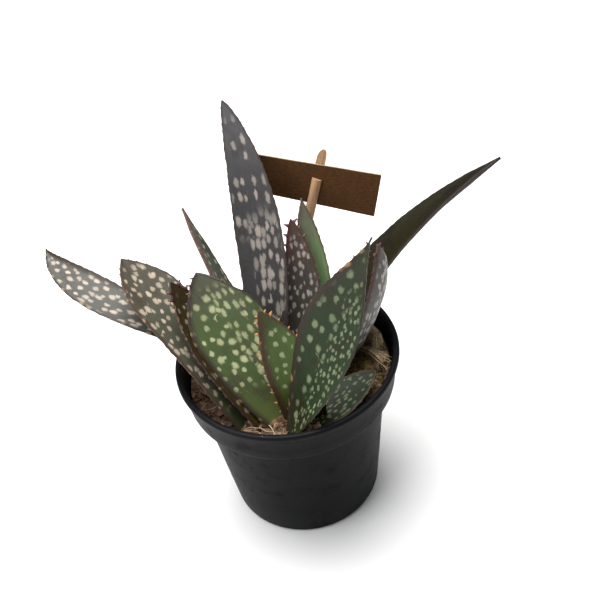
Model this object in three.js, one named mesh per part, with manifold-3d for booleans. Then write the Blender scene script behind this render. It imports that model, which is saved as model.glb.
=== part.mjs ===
// Potted spotted aloe: a round nursery pot with soil, two shoots with fourteen toothed leaves,
// and a card in the split end of a round stick. Sizes in mm, +Z up, +X to the right and -Y towards the
// viewer of the photograph. The origin is the centre of the pot's underside.
import * as THREE from 'three';
import { mergeVertices } from 'three/addons/utils/BufferGeometryUtils.js';
import Module from 'manifold-3d';

const wasm = await Module();
wasm.setup();

// Driving sizes of the pot
const potHeight = 92;
const rimRadius = 52.5;
const lipHeight = 3;
const collarHeight = 18;
const collarFootRadius = 49.8;
const bodyTopRadius = 45.5;
const baseRadius = 38;
const wall = 1.4;
const floorThickness = 2;
const drainHoles = 8;
const drainRadius = 3.5;
const drainCircle = 29;

// Driving sizes of the soil and of the two stems that stand in it
const seat = 0.3;
const soilTop = 79.5;
const soilRelief = 1;
const stemDepth = 9;
const stems = {
  front: { centre: [-8, -28], radii: [13, 6.5], dome: 3.5 },
  rear: { centre: [1, -6], radii: [13.5, 8], dome: 6 },
};

// Driving sizes of the leaves. Every leaf starts at `base` on the soil line, leaves it in the
// direction `heading` (0 is +X, 90 is +Y) at the angle `rise`, and changes both by `turn` and
// `bend` on its way to the tip. `roll` and `twist` turn the blade about its own spine.
// `foot` is the width at the base as a share of `width`, `widest` is where the blade is
// widest, and `taper` shapes the narrowing towards the tip (below 1 is fuller).
const leafStart = 80;
const marginThickness = 1;
const toothSpacing = 8;
const leaves = {
  leaf_broad_right: {
    base: [-4.6, -40.4], heading: 12, turn: -18, rise: 68, bend: -3, length: 106, roll: -2, twist: -60,
    width: 29, foot: 0.29, widest: 0.48, taper: 1.38, thickness: 6, tooth: 1.4, colour: 0x2f4f24,
  },
  leaf_small_front: {
    base: [3.6, -33.6], heading: 115, turn: 30, rise: 83, bend: -21, length: 60, roll: 30, twist: 18,
    width: 21.5, foot: 0.86, widest: 0.41, taper: 0.8, thickness: 4, tooth: 1.3, colour: 0x5f8a2c,
  },
  leaf_big_front: {
    base: [-3, -33], heading: 134, turn: 9, rise: 57, bend: 11, length: 81, roll: 34, twist: 27,
    width: 35, foot: 0.54, widest: 0.61, taper: 0.8, thickness: 8, tooth: 1.3, colour: 0x4f6b33,
  },
  leaf_low_right: {
    base: [3, -35], heading: 19, turn: 3, rise: 16, bend: -1, length: 39, roll: 0, twist: -1,
    width: 20, foot: 0.65, widest: 0.4, taper: 0.77, thickness: 4, tooth: 1.2, colour: 0x4c6b2f,
  },
  leaf_broad_left: {
    base: [-20, -26], heading: 136, turn: -5, rise: 63, bend: -38, length: 93, roll: 0, twist: -13,
    width: 28, foot: 0.74, widest: 0.73, taper: 0.85, thickness: 7, tooth: 1.4, colour: 0x6a6a45,
  },
  leaf_inner_left: {
    base: [-13, -28], heading: 136, turn: -1, rise: 56, bend: -2, length: 75, roll: -4, twist: 1,
    width: 24, foot: 0.7, widest: 0.49, taper: 0.77, thickness: 5, tooth: 1.5, colour: 0x5d6338,
  },
  leaf_centre_violet: {
    base: [4, -13], heading: 56, turn: 42, rise: 65, bend: -12, length: 78, roll: -5, twist: 0,
    width: 18, foot: 0.7, widest: 0.43, taper: 0.69, thickness: 5, tooth: 1.4, colour: 0x473b3d,
  },
  leaf_edge_right: {
    base: [10, -11], heading: 16, turn: -8, rise: 27, bend: 68, length: 80, roll: 39, twist: 13,
    width: 20, foot: 0.7, widest: 0.49, taper: 0.78, thickness: 6, tooth: 1.5, colour: 0x5b4a50,
  },
  leaf_plain_green: {
    base: [11, -5], heading: 63, turn: 31, rise: 63, bend: 1, length: 82, roll: -1, twist: -1,
    width: 17, foot: 0.7, widest: 0.46, taper: 0.89, thickness: 5, tooth: 1.2, colour: 0x5f7f45,
  },
  leaf_tall_violet: {
    base: [-11, -7], heading: 63, turn: 47, rise: 66, bend: -13, length: 131, roll: 22, twist: 12,
    width: 25, foot: 0.69, widest: 0.42, taper: 0.7, thickness: 7, tooth: 1.5, colour: 0x4a4650,
  },
  leaf_long_right: {
    base: [8, -3], heading: 33, turn: -30, rise: 51, bend: -29, length: 133, roll: 0, twist: 12,
    width: 20, foot: 0.7, widest: 0.35, taper: 0.84, thickness: 6, tooth: 1.5, colour: 0x5c5a38,
  },
  leaf_long_left: {
    base: [-9, 5], heading: 200, turn: -92, rise: 53, bend: -63, length: 141, roll: -4, twist: 15,
    width: 18, foot: 0.62, widest: 0.62, taper: 1, thickness: 6, tooth: 1.4, colour: 0x66655a,
  },
  leaf_thin_back: {
    base: [-7, -3], heading: 123, turn: -2, rise: 51, bend: 4, length: 89, roll: -28, twist: -12,
    width: 12, foot: 0.7, widest: 0.43, taper: 0.91, thickness: 4, tooth: 1, colour: 0x3d4d30,
  },
  leaf_small_back: {
    base: [12, -1], heading: 29, turn: -10, rise: 24, bend: -11, length: 39, roll: 10, twist: 7,
    width: 11, foot: 0.7, widest: 0.43, taper: 0.91, thickness: 4, tooth: 0.9, colour: 0x3c4430,
  },
};

// Driving sizes of the stick and of the card that is held in its split upper end
const stickFoot = [3.3, 36];
const stickLean = [18, 5.5];
const stickRadius = 2.4;
const stickDepth = 16;
const stickLength = 93;
const cardCorners = [[-31, 66.9], [30, 65.2], [28.4, 86.2], [-31, 84.8]];
const cardLow = 66;
const cardThickness = 1;
const cardSwing = -11;
const splitWidth = cardThickness + 0.6;
const frontHalfTop = 13;

const rad = THREE.MathUtils.degToRad;
const group = new THREE.Group();

// Closed solids from points and triangles, and back to meshes
function solid(points, triangles) {
  return new wasm.Manifold(new wasm.Mesh({
    numProp: 3,
    vertProperties: new Float32Array(points.flatMap((p) => [p.x, p.y, p.z])),
    triVerts: new Uint32Array(triangles.flat()),
  }));
}

function solidOf(geometry) {
  geometry.deleteAttribute('normal');
  geometry.deleteAttribute('uv');
  const merged = mergeVertices(geometry, 1e-4);
  const index = merged.index.array;
  const kept = [];
  for (let i = 0; i < index.length; i += 3) {
    const [a, b, c] = [index[i], index[i + 1], index[i + 2]];
    if (a !== b && b !== c && a !== c) kept.push(a, b, c);
  }
  return new wasm.Manifold(new wasm.Mesh({
    numProp: 3,
    vertProperties: new Float32Array(merged.attributes.position.array),
    triVerts: new Uint32Array(kept),
  }));
}

function largestPiece(body) {
  return body.decompose().sort((a, b) => b.volume() - a.volume())[0];
}

function addPart(name, body, color, roughness) {
  const mesh = body.getMesh();
  const geometry = new THREE.BufferGeometry();
  geometry.setAttribute('position', new THREE.BufferAttribute(new Float32Array(mesh.vertProperties), 3));
  geometry.setIndex(new THREE.BufferAttribute(new Uint32Array(mesh.triVerts), 1));
  geometry.computeVertexNormals();
  const part = new THREE.Mesh(
    geometry,
    new THREE.MeshStandardMaterial({ name, color, roughness, metalness: 0 }),
  );
  part.name = name;
  group.add(part);
}

// A stack of rings with the same number of points, closed at both ends
function loft(rings) {
  const sides = rings[0].length;
  const points = rings.flat();
  const triangles = [];
  for (let r = 0; r + 1 < rings.length; r += 1) {
    for (let i = 0; i < sides; i += 1) {
      const a = r * sides + i;
      const b = r * sides + (i + 1) % sides;
      triangles.push([a, b, b + sides], [a, b + sides, a + sides]);
    }
  }
  const ends = [[rings[0], 0, 1], [rings[rings.length - 1], (rings.length - 1) * sides, -1]];
  for (const [ring, first, turn] of ends) {
    const middle = new THREE.Vector3();
    ring.forEach((p) => middle.add(p));
    points.push(middle.divideScalar(sides));
    for (let i = 0; i < sides; i += 1) {
      const a = first + i;
      const b = first + (i + 1) % sides;
      triangles.push(turn > 0 ? [b, a, points.length - 1] : [a, b, points.length - 1]);
    }
  }
  return solid(points, triangles);
}

function turned(profile, segments) {
  const lathe = new THREE.LatheGeometry(profile.map(([r, z]) => new THREE.Vector2(r, z)), segments);
  lathe.rotateX(Math.PI / 2);
  return solidOf(lathe);
}

function ellipticRod(centre, radii, bottom, height, sides) {
  const rod = new THREE.CylinderGeometry(1, 1, height, sides);
  rod.rotateX(Math.PI / 2);
  rod.scale(radii[0], radii[1], 1);
  rod.translate(centre[0], centre[1], bottom + height / 2);
  return solidOf(rod);
}

// The pot: a thin shell with a wider collar, a thick lip and holes in its floor
const collarFoot = potHeight - collarHeight;
const innerRadius = (z) => (z < collarFoot + wall
  ? baseRadius + (bodyTopRadius - baseRadius) * (z / collarFoot) - wall
  : collarFootRadius + (rimRadius - 1 - collarFootRadius) * ((z - collarFoot) / collarHeight) - wall);
const shell = turned([
  [0, 0],
  [baseRadius - 1, 0],
  [baseRadius, 1],
  [bodyTopRadius, collarFoot],
  [collarFootRadius, collarFoot + 0.4],
  [rimRadius - 1.2, potHeight - lipHeight],
  [rimRadius, potHeight - lipHeight + 0.6],
  [rimRadius, potHeight - 0.7],
  [rimRadius - 0.8, potHeight],
  [rimRadius - 2.4, potHeight],
  [rimRadius - 3, potHeight - 0.9],
  [innerRadius(collarFoot + wall), collarFoot + wall],
  [innerRadius(collarFoot), collarFoot + 0.4],
  [innerRadius(floorThickness), floorThickness],
  [0, floorThickness],
], 48);
let pot = shell;
for (let i = 0; i < drainHoles; i += 1) {
  const angle = (i + 0.5) * 2 * Math.PI / drainHoles;
  const hole = ellipticRod(
    [drainCircle * Math.cos(angle), drainCircle * Math.sin(angle)],
    [drainRadius, drainRadius],
    -1,
    floorThickness + 2,
    12,
  );
  pot = pot.subtract(hole);
}
addPart('pot', pot, 0x26282a, 0.6);

// The soil: fills the pot to a finger's breadth below the lip, with a low relief
function soilBody(extra) {
  const sides = 36;
  const rings = [];
  const low = floorThickness + seat;
  const ring = (radius, height) => Array.from({ length: sides }, (_, i) => {
    const angle = 2 * Math.PI * i / sides;
    return new THREE.Vector3(radius * Math.cos(angle), radius * Math.sin(angle), height);
  });
  rings.push(ring(innerRadius(low) - seat, low));
  rings.push(ring(innerRadius(collarFoot) - seat, collarFoot + 0.4));
  rings.push(ring(innerRadius(collarFoot) - seat, collarFoot + wall + seat));
  rings.push(ring(innerRadius(collarFoot + 2) - 2 * seat, collarFoot + wall + seat));
  for (const radius of [innerRadius(soilTop) - 2 * seat, 40, 30, 20, 10]) {
    const level = ring(radius, soilTop + extra);
    const edge = radius > 41 ? -1.4 : 0;
    level.forEach((p) => {
      p.z += edge + soilRelief * 0.5 * (Math.sin(p.x / 5 + 1) + Math.sin(p.y / 6 + p.x / 9));
    });
    rings.push(level);
  }
  return loft(rings);
}

function stemBody(stem, grow) {
  const dome = turned([
    [0, soilTop - stemDepth - grow],
    [1, soilTop - stemDepth - grow],
    [1, soilTop],
    [0.86, soilTop + stem.dome * 0.55],
    [0.5, soilTop + stem.dome * 0.92],
    [0, soilTop + stem.dome + grow],
  ], 32);
  return dome.scale([stem.radii[0] + grow, stem.radii[1] + grow, 1])
    .translate([stem.centre[0], stem.centre[1], 0]);
}

let soil = soilBody(0);
for (const stem of Object.values(stems)) {
  soil = soil.subtract(ellipticRod(
    stem.centre,
    [stem.radii[0] + seat, stem.radii[1] + seat],
    soilTop - stemDepth - seat,
    stemDepth + 12,
    32,
  ));
}

// The stick: a round dowel that leans to the right, split down its upper end, where the front
// half of the split is broken off above the middle of the card
const stickDirection = new THREE.Vector3(
  Math.tan(rad(stickLean[0])),
  Math.tan(rad(stickLean[1])),
  1,
).normalize();
const stickBase = new THREE.Vector3(stickFoot[0], stickFoot[1], soilTop);

function rodAlong(profile, sides) {
  const rod = turned(profile, sides);
  const turn = new THREE.Matrix4().makeRotationFromQuaternion(
    new THREE.Quaternion().setFromUnitVectors(new THREE.Vector3(0, 0, 1), stickDirection),
  );
  turn.setPosition(stickBase);
  return rod.transform(turn.elements);
}

const levelAcross = new THREE.Vector3(stickDirection.z, 0, -stickDirection.x).normalize();
const across = levelAcross.applyAxisAngle(stickDirection, rad(cardSwing));
const outward = new THREE.Vector3().crossVectors(across, stickDirection);

// A box whose sides run across the card, out of its front and up the stick
function boxOnStick(size, out, low) {
  const box = solidOf(new THREE.BoxGeometry(...size));
  const turn = new THREE.Matrix4().makeBasis(across, outward.clone().negate(), stickDirection);
  turn.setPosition(stickBase.clone()
    .addScaledVector(stickDirection, low + size[2] / 2)
    .addScaledVector(outward, out));
  return box.transform(turn.elements);
}

const wholeStick = rodAlong([
  [0, -stickDepth],
  [0.6, -stickDepth],
  [stickRadius, -stickDepth + 5],
  [stickRadius, stickLength - 4],
  [stickRadius * 0.85, stickLength - 1.6],
  [stickRadius * 0.4, stickLength - 0.2],
  [0, stickLength],
], 16);
const split = boxOnStick([8, splitWidth, stickLength], 0, cardLow - 2 * seat);
const brokenOff = boxOnStick([8, 4, stickLength], 2, cardLow + frontHalfTop);
const stick = largestPiece(wholeStick.subtract(split).subtract(brokenOff));
soil = soil.subtract(rodAlong([
  [0, -stickDepth - seat],
  [stickRadius + seat, -stickDepth - seat],
  [stickRadius + seat, 20],
  [0, 20],
], 16));
addPart('soil', soil, 0x4a3626, 1);
addPart('stem_front', stemBody(stems.front, 0), 0x6d5a3a, 0.85);
addPart('stem_rear', stemBody(stems.rear, 0), 0x5f4f38, 0.85);
addPart('label_stick', stick, 0xc9a46a, 0.75);

// The card: a flat board, cut a little wider at its right end, that stands in the split
const outline = new THREE.Shape(cardCorners.map(([u, v]) => new THREE.Vector2(u, v)));
const board = new THREE.ExtrudeGeometry(outline, { depth: cardThickness, bevelEnabled: false });
board.translate(0, 0, -cardThickness / 2);
const boardTurn = new THREE.Matrix4().makeBasis(across, stickDirection, outward);
boardTurn.setPosition(stickBase);
const card = solidOf(board).transform(boardTurn.elements);
addPart('label_card', card, 0xa98257, 0.85);

// One leaf: the spine is walked in small steps, then lens-shaped rings are set along it
function spine(leaf, share) {
  const heading = rad(leaf.heading + leaf.turn * share);
  const rise = rad(leaf.rise + leaf.bend * share);
  const roll = rad(leaf.roll + leaf.twist * share);
  const along = new THREE.Vector3(
    Math.cos(rise) * Math.cos(heading),
    Math.cos(rise) * Math.sin(heading),
    Math.sin(rise),
  );
  const up = new THREE.Vector3(
    -Math.sin(rise) * Math.cos(heading),
    -Math.sin(rise) * Math.sin(heading),
    Math.cos(rise),
  );
  const side = new THREE.Vector3().crossVectors(along, up);
  const width = side.clone().multiplyScalar(Math.cos(roll)).addScaledVector(up, Math.sin(roll));
  const face = up.clone().multiplyScalar(Math.cos(roll)).addScaledVector(side, -Math.sin(roll));
  return { along, width, face };
}

function spineAt(leaf, share) {
  const steps = 60;
  const at = new THREE.Vector3(leaf.base[0], leaf.base[1], leafStart);
  for (let i = 0; i < steps; i += 1) {
    at.addScaledVector(spine(leaf, share * (i + 0.5) / steps).along, leaf.length * share / steps);
  }
  return { at, ...spine(leaf, Math.max(0, share)) };
}

function leafWidth(leaf, share) {
  const s = Math.max(0, share);
  if (s < leaf.widest) {
    return leaf.width * (leaf.foot + (1 - leaf.foot) * Math.sin(Math.PI / 2 * s / leaf.widest));
  }
  return leaf.width * Math.cos(Math.PI / 2 * (s - leaf.widest) / (1 - leaf.widest)) ** leaf.taper;
}

const sectionPlaces = [-1, -0.5, 0, 0.5, 1];

function leafBody(leaf, grow) {
  const shares = [-5 / leaf.length, 0.1, 0.24, 0.38, 0.52, 0.66, 0.78, 0.88, 0.95];
  const rings = shares.map((share) => {
    const { at, width, face } = spineAt(leaf, share);
    const half = Math.max(0.8, leafWidth(leaf, share) / 2) + grow;
    const deep = Math.min(leaf.thickness * (1 - 0.6 * Math.max(0, share)), half * 0.8);
    const hollow = Math.min(0.14 * half, 1.6);
    const edge = marginThickness / 2 + grow;
    const upper = sectionPlaces.map((u) => at.clone()
      .addScaledVector(width, u * half)
      .addScaledVector(face, edge - hollow * (1 - u * u)));
    const lower = sectionPlaces.map((u) => at.clone()
      .addScaledVector(width, -u * half)
      .addScaledVector(face, -edge - deep * (1 - u * u) ** 0.8));
    return [...upper, ...lower];
  });
  const last = spineAt(leaf, 1 + (0.8 + grow) / leaf.length);
  rings.push(sectionPlaces.concat(sectionPlaces.map((u) => -u)).map((u, i) => last.at.clone()
    .addScaledVector(last.width, u * (0.35 + grow))
    .addScaledVector(last.face, (i < 5 ? 1 : -1) * (0.35 + grow))));
  return loft(rings);
}

function tooth(leaf, share, side, grow) {
  const { at, along, width, face } = spineAt(leaf, share);
  const out = width.clone().multiplyScalar(side);
  const root = at.clone().addScaledVector(out, leafWidth(leaf, share) / 2 - 0.9);
  const halfLong = 1.1 + grow;
  const halfThick = marginThickness * 0.42 + grow;
  const corners = [[-1, -1], [1, -1], [0, 1]].map(([a, b]) => root.clone()
    .addScaledVector(along, a * halfLong)
    .addScaledVector(face, b * halfThick));
  const tip = root.clone()
    .addScaledVector(out, leaf.tooth + 0.9 + 2 * grow)
    .addScaledVector(along, 0.5 * leaf.tooth);
  const sides = [[0, 1, 3], [1, 2, 3], [2, 0, 3], [1, 0, 2]];
  const faces = side > 0 ? sides : sides.map(([a, b, c]) => [a, c, b]);
  return solid([...corners, tip], faces);
}

function toothedLeaf(leaf, grow) {
  const bodies = [leafBody(leaf, grow)];
  const count = Math.floor(leaf.length * 0.78 / toothSpacing);
  for (let i = 0; i <= count; i += 1) {
    const share = 0.15 + 0.79 * i / count;
    bodies.push(tooth(leaf, share, 1, grow), tooth(leaf, share - 0.012, -1, grow));
  }
  return wasm.Manifold.union(bodies);
}

// The leaves are cut clear of the stems, the soil, the card and the leaves listed before them
const clear = seat + 0.05;
let taken = wasm.Manifold.union([
  soilBody(clear),
  stemBody(stems.front, clear),
  stemBody(stems.rear, clear),
]);
for (const [name, leaf] of Object.entries(leaves)) {
  const body = largestPiece(toothedLeaf(leaf, 0).subtract(taken));
  addPart(name, body, leaf.colour, 0.5);
  taken = taken.add(toothedLeaf(leaf, clear));
}

export default group;
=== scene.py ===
import math
import random

import bmesh
import bpy
from mathutils import Matrix, Vector, noise


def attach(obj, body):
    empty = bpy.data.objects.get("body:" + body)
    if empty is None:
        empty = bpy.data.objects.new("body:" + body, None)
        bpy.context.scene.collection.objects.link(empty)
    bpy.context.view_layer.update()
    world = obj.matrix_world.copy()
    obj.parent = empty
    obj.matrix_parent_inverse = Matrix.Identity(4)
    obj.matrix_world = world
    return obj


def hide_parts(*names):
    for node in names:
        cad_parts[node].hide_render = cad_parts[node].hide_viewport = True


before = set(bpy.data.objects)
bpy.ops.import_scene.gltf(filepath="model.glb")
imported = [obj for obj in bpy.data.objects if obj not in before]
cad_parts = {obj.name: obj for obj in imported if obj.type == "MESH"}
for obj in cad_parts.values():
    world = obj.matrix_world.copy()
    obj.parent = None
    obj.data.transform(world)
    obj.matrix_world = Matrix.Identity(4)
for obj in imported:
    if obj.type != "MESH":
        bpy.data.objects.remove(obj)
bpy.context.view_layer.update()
MM = 0.001


# Pot
# A thin-walled nursery pot, injection moulded in matt black polypropylene: a tapered body, a
# wider collar with a rounded lip, and drain holes in the floor.
RIM_RADIUS = 52.5
POT_HEIGHT = 92
COLLAR_FOOT = 74
# Heights in mm over which the top of the lip is painted lighter: a painted highlight.
LIP_PAINTED_HIGHLIGHT = (0.0885, 0.0915)
POT_STEPS = 144
DRAIN_HOLES = 8
DRAIN_CIRCLE = 29
DRAIN_RADIUS = 3.5


def put(tree, kind, inputs=None, **settings):
    """Adds a node with its settings, and links or sets its inputs."""
    made = tree.nodes.new(kind)
    for key, value in settings.items():
        setattr(made, key, value)
    for key, value in (inputs or {}).items():
        if isinstance(value, bpy.types.NodeSocket):
            tree.links.new(value, made.inputs[key])
        else:
            made.inputs[key].default_value = value
    return made


def maths(tree, operation, a, b, c=None):
    inputs = {i: v for i, v in enumerate((a, b, c)) if v is not None}
    return put(tree, "ShaderNodeMath", inputs, operation=operation).outputs[0]


def times(tree, a, b):
    return maths(tree, "MULTIPLY", a, b)


def cloud(tree, place, scale, detail=2.0, roughness=0.5):
    """Soft noise, from 0 to 1, on coordinates."""
    return put(tree, "ShaderNodeTexNoise", {"Vector": place, "Scale": scale, "Detail": detail,
                                            "Roughness": roughness}).outputs[0]


def own_place(tree):
    return put(tree, "ShaderNodeTexCoord").outputs["Object"]


def parts(tree, vector):
    return put(tree, "ShaderNodeSeparateXYZ", {0: vector}).outputs


def held(tree, name):
    """A vector that the mesh itself carries."""
    return put(tree, "ShaderNodeAttribute", attribute_name=name).outputs["Vector"]


def blend_colour(tree, share, a, b, mode="MIX"):
    return put(tree, "ShaderNodeMix", {0: share, 6: a, 7: b}, data_type="RGBA",
               blend_type=mode, clamp_factor=True).outputs[2]


def ramp_to(tree, value, low, high, to_low=0.0, to_high=1.0):
    return put(tree, "ShaderNodeMapRange", {0: value, 1: low, 2: high, 3: to_low, 4: to_high},
               interpolation_type="SMOOTHSTEP").outputs[0]


def new_finish(name, **shader):
    """A material with one Principled shader. Returns it with its tree and shader node."""
    finish = bpy.data.materials.new(name)
    finish.use_nodes = True
    tree = finish.node_tree
    body = tree.nodes["Principled BSDF"]
    for key, value in shader.items():
        body.inputs[key.replace("_", " ")].default_value = value
    return finish, tree, body


def raise_skin(tree, body, height, strength, distance):
    """Gives a shader small relief."""
    raised = put(tree, "ShaderNodeBump", {"Height": height, "Strength": strength, "Distance": distance})
    tree.links.new(raised.outputs[0], body.inputs["Normal"])


def loose_object(name, bm):
    """A plain object with the shape of a bmesh, which it frees."""
    mesh = bpy.data.meshes.new(name)
    bm.to_mesh(mesh)
    bm.free()
    made = bpy.data.objects.new(name, mesh)
    bpy.context.scene.collection.objects.link(made)
    return made


def add_piece(name, bm, finishes, node=None, smooth=True):
    """Turns a bmesh into a piece of the object, at the origin, riding on the root body."""
    piece = loose_object(name, bm)
    for finish in finishes:
        piece.data.materials.append(finish)
    if smooth:
        piece.data.shade_smooth()
    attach(piece, "root")
    if node:
        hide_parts(node)
    return piece


def turned_body(profile, steps):
    """A profile of (radius, height) in mm, spun once round the Z axis."""
    bm = bmesh.new()
    rim = [bm.verts.new((r * MM, 0, z * MM)) for r, z in profile]
    edges = [bm.edges.new(pair) for pair in zip(rim, rim[1:])]
    bmesh.ops.spin(bm, geom=rim + edges, cent=(0, 0, 0), axis=(0, 0, 1),
                   angle=2 * math.pi, steps=steps, use_merge=True)
    bmesh.ops.remove_doubles(bm, verts=bm.verts, dist=2e-6)
    bmesh.ops.recalc_face_normals(bm, faces=bm.faces)
    return bm


def cut_shape(whole, tools):
    """The mesh of an object with the tools cut out of it. Removes the tools."""
    for tool in tools:
        cut = whole.modifiers.new("cut", "BOOLEAN")
        cut.operation = "DIFFERENCE"
        cut.solver = "EXACT"
        cut.object = tool
    bpy.context.view_layer.update()
    shape = bpy.data.meshes.new_from_object(whole.evaluated_get(bpy.context.evaluated_depsgraph_get()))
    whole.modifiers.clear()
    for tool in tools:
        bpy.data.objects.remove(tool)
    return shape


def wear_group():
    """Fine speckle, faint scuffs and dust, for moulded plastic."""
    group = bpy.data.node_groups.new("moulded_wear", "ShaderNodeTree")
    group.interface.new_socket("Scale", in_out="INPUT", socket_type="NodeSocketFloat")
    for name in ("Speckle", "Scuff", "Dust", "Grain"):
        group.interface.new_socket(name, in_out="OUTPUT", socket_type="NodeSocketFloat")
    ends = group.nodes.new("NodeGroupInput"), group.nodes.new("NodeGroupOutput")
    place = own_place(group)
    spots = put(group, "ShaderNodeTexVoronoi", {"Vector": place, "Scale": 620.0})
    own = put(group, "ShaderNodeSeparateColor", {0: spots.outputs["Color"]}).outputs[0]
    pick = maths(group, "GREATER_THAN", own, 0.9)
    speckle = times(group, ramp_to(group, spots.outputs["Distance"], 0.32, 0.12), pick)
    stretched = put(group, "ShaderNodeMapping", {"Vector": place, "Scale": (60, 60, 700)}).outputs[0]
    lines = cloud(group, stretched, 1.0, 4.0)
    patches = cloud(group, place, 45.0, 3.0)
    scuff = times(group, ramp_to(group, lines, 0.6, 0.75), ramp_to(group, patches, 0.45, 0.65))
    dust = ramp_to(group, cloud(group, place, 90.0, 8.0, 0.7), 0.5, 0.8)
    grain = cloud(group, place, ends[0].outputs["Scale"], 3.0)
    for name, socket in (("Speckle", speckle), ("Scuff", scuff), ("Dust", dust), ("Grain", grain)):
        group.links.new(socket, ends[1].inputs[name])
    return group


plastic, tree, body = new_finish("matt_black_plastic", Specular_IOR_Level=0.06)
wear = put(tree, "ShaderNodeGroup", {"Scale": 900.0}, node_tree=wear_group()).outputs
# Painted highlight: the black is mixed lighter towards the top of the lip, standing in for the light caught
# along the rim. The lip is also made a little smoother there.
lip_painted_highlight = ramp_to(tree, parts(tree, own_place(tree))[2], *LIP_PAINTED_HIGHLIGHT)
black = blend_colour(tree, lip_painted_highlight, (0.0016, 0.0017, 0.0023, 1), (0.0062, 0.0066, 0.0076, 1))
for mark, strength, colour in (
    ("Scuff", 0.25, (0.02, 0.02, 0.021, 1)),
    ("Dust", 0.04, (0.06, 0.05, 0.04, 1)),
    ("Speckle", 0.16, (0.07, 0.066, 0.06, 1)),
):
    black = blend_colour(tree, times(tree, wear[mark], strength), black, colour)
tree.links.new(black, body.inputs["Base Color"])
rough = maths(tree, "ADD", 0.5, times(tree, wear["Dust"], 0.3))
rough = maths(tree, "SUBTRACT", rough, times(tree, lip_painted_highlight, 0.12))
tree.links.new(rough, body.inputs["Roughness"])
raise_skin(tree, body, wear["Grain"], 0.25, 0.0003)

pot_profile = [
    (0, 0.6), (12, 0.6), (13, 0), (34.6, 0), (36.4, 0.3), (37.6, 1.1), (38.1, 2.4),
    (39.9, 20), (41.8, 40), (43.7, 60), (45.2, 72.4), (45.4, 73.6), (45.8, COLLAR_FOOT),
    (48.9, 74.1), (49.7, 74.4), (49.9, 75.2),
    (50.4, 80), (51.2, 88.4), (51.5, 89), (52.1, 89.2), (RIM_RADIUS, 89.8), (RIM_RADIUS, 90.9),
    (52.2, 91.7), (51.5, POT_HEIGHT), (50.6, POT_HEIGHT), (49.9, 91.7), (49.6, 91), (49.4, 88),
    (48.8, 80), (48.4, 76.4), (48, 75.7), (45.2, 75.4), (44.2, 75), (44, 74),
    (42.2, 56), (40.4, 36), (38.2, 12), (37, 3), (36, 2.2), (34, 2), (0, 2),
]
bm = turned_body(pot_profile, POT_STEPS)
pot = add_piece("nursery_pot", bm, [plastic], "pot")
drill = bmesh.new()
for i in range(DRAIN_HOLES):
    turn = (i + 0.5) * 2 * math.pi / DRAIN_HOLES
    spot = Matrix.Translation((DRAIN_CIRCLE * MM * math.cos(turn), DRAIN_CIRCLE * MM * math.sin(turn), 0))
    bmesh.ops.create_cone(drill, cap_ends=True, segments=28, radius1=DRAIN_RADIUS * MM,
                          radius2=DRAIN_RADIUS * MM, depth=0.012, matrix=spot)
pot.data = cut_shape(pot, [loose_object("drain_drill", drill)])


# Soil
# Loose coir, bark and peat, filled to a finger's breadth below the lip, with chips, crumbs,
# curled fibres and a patch of dry moss on top.
SOIL_LEVEL = 79.2
SOIL_RADIUS = 47.9
SOIL_STEPS = 150
chance = random.Random(11)


def soil_level(x, y):
    """Height of the soil in mm at a place in mm."""
    lumps = noise.fractal(Vector((x / 13, y / 13, 0.7)), 1.0, 2.0, 4)
    fine = noise.noise(Vector((x / 2.4, y / 2.4, 3.1)))
    edge = max(0.0, math.hypot(x, y) - 41) / 7
    heap = 4.2 * math.exp(-((x - 41) / 11) ** 2 - ((y - 9) / 19) ** 2)
    return SOIL_LEVEL + heap + 1.5 * lumps + 0.5 * fine - 2.2 * edge ** 1.5 * (1 - 0.16 * heap)


def soil_finish(name, dark, mid, light, scale, bump):
    finish, tree, body = new_finish(name, Roughness=0.95, Specular_IOR_Level=0.2)
    place = own_place(tree)
    lumps = cloud(tree, place, scale, 6.0, 0.7)
    cells = put(tree, "ShaderNodeTexVoronoi", {"Vector": place, "Scale": scale * 1.7})
    tone = blend_colour(tree, ramp_to(tree, lumps, 0.3, 0.58), dark, mid)
    own = put(tree, "ShaderNodeSeparateColor", {0: cells.outputs["Color"]}).outputs[1]
    tone = blend_colour(tree, ramp_to(tree, own, 0.55, 1.0), tone, light)
    tree.links.new(tone, body.inputs["Base Color"])
    both = maths(tree, "ADD", lumps, times(tree, cells.outputs["Distance"], 0.6))
    raise_skin(tree, body, both, 0.9, bump)
    return finish


peat = soil_finish("dark_peat", (0.03, 0.018, 0.011, 1), (0.155, 0.094, 0.055, 1), (0.31, 0.215, 0.14, 1),
                   300, 0.0012)
bm = bmesh.new()
bmesh.ops.create_grid(bm, x_segments=SOIL_STEPS, y_segments=SOIL_STEPS, size=SOIL_RADIUS * MM)
outside = [v for v in bm.verts if v.co.length > SOIL_RADIUS * MM]
bmesh.ops.delete(bm, geom=outside, context="VERTS")
for v in bm.verts:
    if v.co.length > (SOIL_RADIUS - 0.9) * MM:
        v.co = v.co.normalized() * SOIL_RADIUS * MM
    v.co.z = soil_level(v.co.x / MM, v.co.y / MM) * MM
border = [e for e in bm.edges if e.is_boundary]
skirt = bmesh.ops.extrude_edge_only(bm, edges=border)["geom"]
for v in (g for g in skirt if isinstance(g, bmesh.types.BMVert)):
    v.co.z = 76.2 * MM
for radius, height in ((43.6, 75.8), (36.4, 2.4)):
    low = [g for g in skirt if isinstance(g, bmesh.types.BMEdge)]
    skirt = bmesh.ops.extrude_edge_only(bm, edges=low)["geom"]
    for v in (g for g in skirt if isinstance(g, bmesh.types.BMVert)):
        v.co.z = 0
        v.co = v.co.normalized() * radius * MM + Vector((0, 0, height * MM))
bmesh.ops.contextual_create(bm, geom=[g for g in skirt if isinstance(g, bmesh.types.BMEdge)])
bmesh.ops.recalc_face_normals(bm, faces=bm.faces)
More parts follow.
